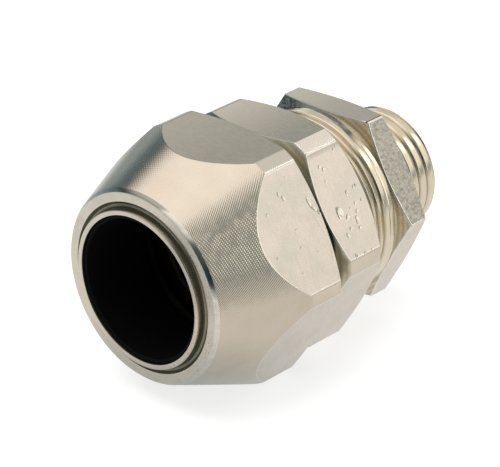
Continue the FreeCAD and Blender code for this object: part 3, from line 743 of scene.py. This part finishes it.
def burnished_edge():
    """Corners rubbed smooth and bright. The upper flats' front edges get painted shade with them, and one
    edge of the entry hexagon has a black line."""
    rubbed = (0.93, 0.87, 0.78)
    less_rubbed = (0.84, 0.76, 0.65)
    shaded_plate = (0.36, 0.35, 0.30)
    black = (0.05, 0.05, 0.045)
    nodes = Nodes("nickel_edge")
    point = nodes.point()
    x, y, z = nodes.axes(point)
    angle = nodes.angle(x, z)
    rub = nodes.noise(point, 1.6, 3.0, 0.6)
    colour = nodes.mix_colour(nodes.spread(rub, 0.35, 0.65), rubbed, less_rubbed)
    # Painted shade on the upper flats' edges, as on the flats.
    painted_shade = nodes.product(nodes.spread(z, 11.5, 11.8, 0.0, 0.9), nodes.spread(angle, 0.46, 0.40))
    colour = nodes.mix_colour(painted_shade, colour, shaded_plate)
    # A black line along one corner edge of the entry hexagon.
    on_edge = nodes.near(angle, BLACK_EDGE_ANGLE, 0.012, 0.008)
    colour = nodes.mix_colour(nodes.product(on_edge, nodes.spread(y, *ENTRY_SLOPE_START)), colour, black)
    roughness = nodes.spread(rub, 0.3, 0.7, 0.12, 0.2)
    return nodes.finish(colour, roughness, 1.0, nodes.bump(rub, distance=0.004 * MM))


def thread_depth(nodes, radius):
    """How deep below its crest a thread is: nothing at 0.05 mm, and one at 0.27 mm."""
    small_crest = 8.0
    large_crest = 12.0
    between = 9.0
    large = nodes.math("LESS_THAN", between, radius)
    crest = nodes.math("ADD", small_crest, nodes.product(large, large_crest - small_crest))
    return nodes.spread(nodes.math("SUBTRACT", crest, radius), 0.05, 0.27)


def thread_slate_streak(nodes, point, y, angle):
    """A slate-coloured streak on the body thread: short and slanting, beside the hexagon."""
    round_it = nodes.near(angle, THREAD_STREAK_ANGLE, 0.52, 0.38)
    slanting = nodes.math("MULTIPLY_ADD", angle, THREAD_STREAK_SLANT, y)
    along_it = nodes.near(slanting, THREAD_STREAK_STATION, 0.55, 0.28)
    scratched = nodes.noise(nodes.scaled(point, (1.2, 9.0, 1.2)), 1.0, 3.0, 0.7)
    slate_share = nodes.product(round_it, along_it)
    return nodes.product(slate_share, nodes.spread(scratched, 0.36, 0.5, 0.45, 1.0))


def thread_nickel():
    """Threads: bright golden plate, browner down in the roots with dirt and painted shade, and one slate
    streak.
    """
    crest = (0.87, 0.755, 0.58)
    root_dirt_and_shade = (0.44, 0.34, 0.19)
    streaked = (0.68, 0.56, 0.39)
    slate = (0.13, 0.15, 0.16)
    nodes = Nodes("nickel_thread")
    point = nodes.point()
    x, y, z = nodes.axes(point)
    streak = nodes.noise(nodes.scaled(point, (0.5, 5.0, 0.5)), 1.0, 3.0, 0.6)
    # Roots darker with dirt and painted shade, by depth below the crest.
    colour = nodes.mix_colour(thread_depth(nodes, nodes.radius(x, z)), crest, root_dirt_and_shade)
    colour = nodes.mix_colour(nodes.spread(streak, 0.45, 0.7, 0.0, 0.35), colour, streaked)
    colour = nodes.mix_colour(thread_slate_streak(nodes, point, y, nodes.angle(x, z)), colour, slate)
    roughness = nodes.spread(streak, 0.3, 0.7, 0.16, 0.22)
    return nodes.finish(colour, roughness, 1.0, nodes.bump(streak, distance=0.004 * MM))


def gap_painted_shade(nodes, y, radius, angle):
    """Painted shade low down in the gap behind the cap, higher up round its angle."""
    higher = nodes.near(angle, GAP_SHADE_ANGLE, 0.18, 0.06)
    lowered = nodes.math("MULTIPLY_ADD", higher, -GAP_SHADE_RISE, radius)
    gap_shade = nodes.product(nodes.spread(lowered, 14.18, 13.92), nodes.spread(y, *CAP_GAP_END))
    return nodes.product(gap_shade, nodes.spread(angle, 0.75, 1.1, 0.5, 1.0))


def slope_slate_streak(nodes, point, y, angle):
    """The body thread's slate streak where it goes on across the entry hexagon's slope."""
    slate_share = nodes.near(angle, SLOPE_STREAK_ANGLE, 0.26, 0.14)
    slate_share = nodes.product(slate_share, nodes.spread(y, *ENTRY_SLOPE_START))
    return nodes.product(slate_share, nodes.spread(nodes.noise(point, 1.8, 4.0, 0.7), 0.38, 0.56, 0.3, 1.0))


def dulled_nickel():
    """The slopes in front of the hexagons: dull plate with fine rings, painted shade in the gap and a slate
    streak.
    """
    plate = (0.76, 0.68, 0.52)
    blotched = (0.62, 0.55, 0.41)
    ringed = (0.42, 0.37, 0.26)
    # The colour of the painted shade in the gap behind the cap.
    black = (0.05, 0.06, 0.065)
    slate = (0.10, 0.13, 0.15)
    ring_period = 0.6
    nodes = Nodes("nickel_dulled")
    point = nodes.point()
    x, y, z = nodes.axes(point)
    radius = nodes.radius(x, z)
    angle = nodes.angle(x, z)
    blotch = nodes.noise(point, 0.8, 3.0)
    ring = nodes.math("SINE", nodes.product(radius, 2 * math.pi / ring_period))
    colour = nodes.mix_colour(nodes.spread(blotch, 0.3, 0.7), plate, blotched)
    colour = nodes.mix_colour(nodes.spread(ring, -1, 1, 0.0, 0.6), colour, ringed)
    # Painted shade low in the gap behind the cap.
    colour = nodes.mix_colour(gap_painted_shade(nodes, y, radius, angle), colour, black)
    colour = nodes.mix_colour(slope_slate_streak(nodes, point, y, angle), colour, slate)
    grain = nodes.bump(nodes.noise(point, 5.0, 3.0), distance=0.003 * MM)
    return nodes.finish(colour, nodes.spread(blotch, 0.3, 0.7, 0.22, 0.30), 1.0, grain)


def plain_finish(name, colour, roughness, metallic, specular=0.5):
    """A plain material with soft blotches and a fine grain."""
    nodes = Nodes(name)
    point = nodes.point()
    blotch = nodes.noise(point, 0.8, 3.0)
    darker = tuple(0.8 * part for part in colour)
    tint = nodes.mix_colour(nodes.spread(blotch, 0.3, 0.7), colour, darker)
    nodes.shader.inputs["Specular IOR Level"].default_value = specular
    grain = nodes.bump(nodes.noise(point, 5.0, 3.0), distance=0.003 * MM)
    return nodes.finish(tint, nodes.spread(blotch, 0.3, 0.7, roughness, roughness + 0.08), metallic, grain)


turned = turned_nickel()
edge = burnished_edge()
FINISHES = {
    TURNED: turned,
    MILLED: milled_nickel(),
    THREADED: thread_nickel(),
    # Bored plate darkened with painted shade inside.
    BORED: plain_finish("nickel_bore_shade", (0.22, 0.18, 0.13), 0.4, 1.0),
    EDGE: edge,
    # Near black: painted shade inside the middle body.
    INSIDE_SHADE: plain_finish("nickel_inside_shade", (0.016, 0.015, 0.013), 0.5, 1.0),
    WORN: worn_nickel(),
    # Grooves, the chamfers in the gaps and the dents' steep sides: painted shade.
    GROOVED: plain_finish("nickel_groove_shade", (0.34, 0.31, 0.235), 0.24, 1.0),
    FACED: faced_nickel(),
    BRIGHT: edge,
    DULLED: dulled_nickel(),
}
# Brass inside the gland, darkened: painted shade.
shaded_brass = plain_finish("brass_inside_shade", (0.05, 0.037, 0.020), 0.5, 1.0)
# Black rubber, darker than rubber is: black seal and painted shade inside the opening.
rubber = plain_finish("rubber", (0.0025, 0.0025, 0.003), 0.7, 0.0, 0.12)
nylon = plain_finish("nylon", (0.80, 0.78, 0.70), 0.45, 0.0)

NODE_FINISHES = {
    "outer_seal": rubber,
    "inner_seal": rubber,
    "slip_washer": nylon,
    "inner_washer": nylon,
    "clamping_ring": shaded_brass,
    "armour_cone": shaded_brass,
    "cap_nut": turned,
    "middle_body": turned,
    "entry_body": turned,
}
for name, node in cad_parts.items():
    node.data.materials.clear()
    node.data.materials.append(NODE_FINISHES[name])

SHELLS = [
    ("cap_nut", "cap", build_cap),
    ("middle_body", "middle", build_middle),
    ("entry_body", "entry", build_entry),
]
for name, body, build in SHELLS:
    shell = build()
    for slot in sorted(FINISHES):
        shell.data.materials.append(FINISHES[slot])
    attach(shell, body)
    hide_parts(name)

# ---------------------------------------------------------------- stage and light

FLOOR_HALF_WIDTH = 2.0
FLOOR_GREY = 0.45
FLOOR_GLOW = 0.72
SEEN_FLOOR_DROP = 0.05 * MM
MIRRORED_FLOOR_DROP = 0.25 * MM


def seen_floor():
    """The floor as the camera sees it: pale, with only a faint shadow."""
    nodes = Nodes("floor_seen")
    nodes.shader.inputs["Specular IOR Level"].default_value = 0.0
    nodes.shader.inputs["Emission Color"].default_value = (1, 1, 1, 1)
    nodes.shader.inputs["Emission Strength"].default_value = FLOOR_GLOW
    return nodes.finish((FLOOR_GREY, FLOOR_GREY, FLOOR_GREY, 1), 0.9, 0.0)


def mirrored_floor():
    """The floor as the metal mirrors it: a glowing table that ends on the right and fades away on the left,
    with a painted shadow beneath the cap.
    """
    table = (0.69, 0.70, 0.70)
    table_left = (0.78, 0.83, 0.86)
    table_behind = (0.79, 0.80, 0.80)
    painted_shadow = (0.42, 0.46, 0.48)
    far = (0.48, 0.53, 0.55)
    further = (0.30, 0.36, 0.39)
    beyond_end = (0.38, 0.41, 0.42)
    beneath_cap = (0, -36, 0)
    nodes = Nodes("floor_mirrored")
    point = nodes.point()
    x, y, _ = nodes.axes(point)
    away = nodes.distance(point, (0, 0, 0))
    beneath = nodes.distance(point, beneath_cap)
    light = nodes.mix_colour(nodes.spread(x, -20, -60), table, table_left)
    # A painted shadow on the floor beneath the cap.
    light = nodes.mix_colour(nodes.spread(beneath, 5, 27, kind="SMOOTHSTEP"), painted_shadow, light)
    behind = nodes.product(nodes.spread(y, -16, 6), nodes.spread(x, -30, -12))
    light = nodes.mix_colour(behind, light, table_behind)
    faded = nodes.mix_colour(nodes.spread(away, 50, 130), light, far)
    faded = nodes.mix_colour(nodes.spread(away, 130, 260), faded, further)
    ended = nodes.mix_colour(nodes.spread(x, 125, 150), light, beyond_end)
    light = nodes.mix_colour(nodes.spread(x, -10, 10), faded, ended)
    glow = nodes.add("ShaderNodeEmission", {"Color": light})
    nodes.tree.links.new(glow.outputs[0], nodes.tree.nodes["Material Output"].inputs["Surface"])
    return nodes.material


def floor(name, material, drop):
    """A floor that lies drop below the gland."""
    half = FLOOR_HALF_WIDTH
    corners = [(-half, -half, 0), (half, -half, 0), (half, half, 0), (-half, half, 0)]
    mesh = bpy.data.meshes.new(name)
    mesh.from_pydata(corners, [], [(0, 1, 2, 3)])
    mesh.materials.append(material)
    plane = bpy.data.objects.new(name, mesh)
    bpy.context.scene.collection.objects.link(plane)
    plane.location.z = cad_low.z - drop
    return plane


seen = floor("floor_seen", seen_floor(), SEEN_FLOOR_DROP)
seen.visible_glossy = False
mirrored = floor("floor_mirrored", mirrored_floor(), MIRRORED_FLOOR_DROP)
mirrored.visible_camera = False
mirrored.visible_shadow = False

# The studio round the gland: (azimuth from +Y towards +X, elevation, half angle, softness, light), with the
# angles in degrees, painted over each other in this order.
STUDIO = [
    (2, 40, 30, 12, (0.77, 0.755, 0.71)),
    (-152, 24, 26, 10, (0.42, 0.46, 0.46)),
    (93, 26, 45, 4, (0.28, 0.33, 0.335)),
    (43, 24, 18, 6, (0.97, 0.965, 0.955)),
    (-42, 24, 17, 7, (0.58, 0.60, 0.575)),
    (-54, 9, 10, 5, (0.90, 0.96, 0.98)),
    (134, 14, 17, 6, (0.01, 0.025, 0.035)),
    (148, 28, 12, 6, (0.06, 0.08, 0.08)),
    (160, 6, 18, 8, (0.03, 0.05, 0.06)),
    (-106, 73, 33, 12, (1.08, 1.08, 1.08)),
    (30, 38, 7, 4, (2.2, 2.2, 2.1)),
    (68, 34, 8, 3, (1.45, 1.45, 1.40)),
    (69, 24, 8, 3, (1.45, 1.45, 1.40)),
    (70, 14, 8, 3, (1.45, 1.45, 1.40)),
    (71, 4, 8, 3, (1.45, 1.45, 1.40)),
]
# The light behind those, by elevation: (sine of the elevation, light).
HORIZON = [
    (-0.05, (0.24, 0.28, 0.30)),
    (0.03, (0.25, 0.32, 0.35)),
    (0.16, (0.17, 0.23, 0.27)),
    (0.28, (0.10, 0.155, 0.185)),
    (0.46, (0.08, 0.12, 0.14)),
    (0.56, (0.42, 0.44, 0.43)),
    (0.65, (0.76, 0.77, 0.77)),
    (0.76, (0.80, 0.80, 0.79)),
    (1.0, (1.0, 1.0, 1.0)),
]


def towards(azimuth, elevation):
    """The direction at an azimuth from +Y towards +X and an elevation, in degrees."""
    level = math.cos(math.radians(elevation))
    turn = math.radians(azimuth)
    return Vector((level * math.sin(turn), level * math.cos(turn), math.sin(math.radians(elevation))))


def horizon_light(tree, direction):
    """The light by elevation, from HORIZON."""
    height = tree.nodes.new("ShaderNodeSeparateXYZ")
    tree.links.new(direction, height.inputs[0])
    level = tree.nodes.new("ShaderNodeMapRange")
    level.inputs["From Min"].default_value = -1
    tree.links.new(height.outputs[2], level.inputs["Value"])
    ramp = tree.nodes.new("ShaderNodeValToRGB")
    tree.links.new(level.outputs[0], ramp.inputs[0])
    stops = ramp.color_ramp.elements
    while len(stops) < len(HORIZON):
        stops.new(0.5)
    for stop, (sine, light) in zip(stops, HORIZON):
        stop.position = (sine + 1) / 2
        stop.color = (*light, 1)
    return ramp.outputs[0]


def blended(tree, share, a, b):
    """Colour a where the share is nothing, and the plain colour b where it is one."""
    blend = tree.nodes.new("ShaderNodeMix")
    blend.data_type = "RGBA"
    tree.links.new(share, blend.inputs[0])
    tree.links.new(a, blend.inputs[6])
    blend.inputs[7].default_value = (*b, 1)
    return blend.outputs[2]


def patch_share(tree, direction, azimuth, elevation, half_angle, softness):
    """One inside a round patch of sky, and nothing outside it."""
    facing = tree.nodes.new("ShaderNodeVectorMath")
    facing.operation = "DOT_PRODUCT"
    tree.links.new(direction, facing.inputs[0])
    facing.inputs[1].default_value = towards(azimuth, elevation)
    share = tree.nodes.new("ShaderNodeMapRange")
    share.interpolation_type = "SMOOTHSTEP"
    tree.links.new(facing.outputs["Value"], share.inputs["Value"])
    share.inputs["From Min"].default_value = math.cos(math.radians(half_angle + softness))
    share.inputs["From Max"].default_value = math.cos(math.radians(half_angle - softness))
    return share.outputs[0]


def studio_world():
    """What the metal mirrors. Behind the floor, the camera sees something as pale as the floor."""
    world = bpy.data.worlds.new("studio")
    bpy.context.scene.world = world
    world.use_nodes = True
    tree = world.node_tree
    direction = tree.nodes.new("ShaderNodeTexCoord").outputs["Generated"]
    light = horizon_light(tree, direction)
    for azimuth, elevation, half_angle, softness, glow in STUDIO:
        share = patch_share(tree, direction, azimuth, elevation, half_angle, softness)
        light = blended(tree, share, light, glow)
    seen_directly = tree.nodes.new("ShaderNodeLightPath").outputs["Is Camera Ray"]
    light = blended(tree, seen_directly, light, (1, 1, 1))
    tree.links.new(light, tree.nodes["Background"].inputs["Color"])


studio_world()

SOFTBOX_PLACE = Vector((-0.15, -0.05, 0.7))
SOFTBOX_WIDTH = 0.9
SOFTBOX_POWER = 4.0
softbox_data = bpy.data.lights.new("overhead_softbox", "AREA")
softbox_data.shape = "DISK"
softbox_data.size = SOFTBOX_WIDTH
softbox_data.energy = SOFTBOX_POWER
softbox = bpy.data.objects.new("overhead_softbox", softbox_data)
bpy.context.scene.collection.objects.link(softbox)
softbox.location = SOFTBOX_PLACE
softbox.rotation_euler = SOFTBOX_PLACE.to_track_quat("Z", "Y").to_euler()
softbox.visible_glossy = False

# ---------------------------------------------------------------- camera

CAMERA_AZIMUTH = 43.53
CAMERA_ELEVATION = 27.91
CAMERA_PLACE = Vector((215.0, -244.3, 168.5)) * MM
CAMERA_LENS = 210.14
CAMERA_SENSOR = 36.0
CAMERA_SHIFT = (0.0071, -0.0408)

camera_data = bpy.data.cameras.new("camera")
camera_data.lens = CAMERA_LENS
camera_data.sensor_width = CAMERA_SENSOR
camera_data.shift_x, camera_data.shift_y = CAMERA_SHIFT
camera = bpy.data.objects.new("camera", camera_data)
bpy.context.scene.collection.objects.link(camera)
camera.location = CAMERA_PLACE
camera.rotation_euler = towards(-CAMERA_AZIMUTH, -CAMERA_ELEVATION).to_track_quat("-Z", "Y").to_euler()
bpy.context.scene.camera = camera
bpy.context.scene.view_settings.view_transform = "Standard"
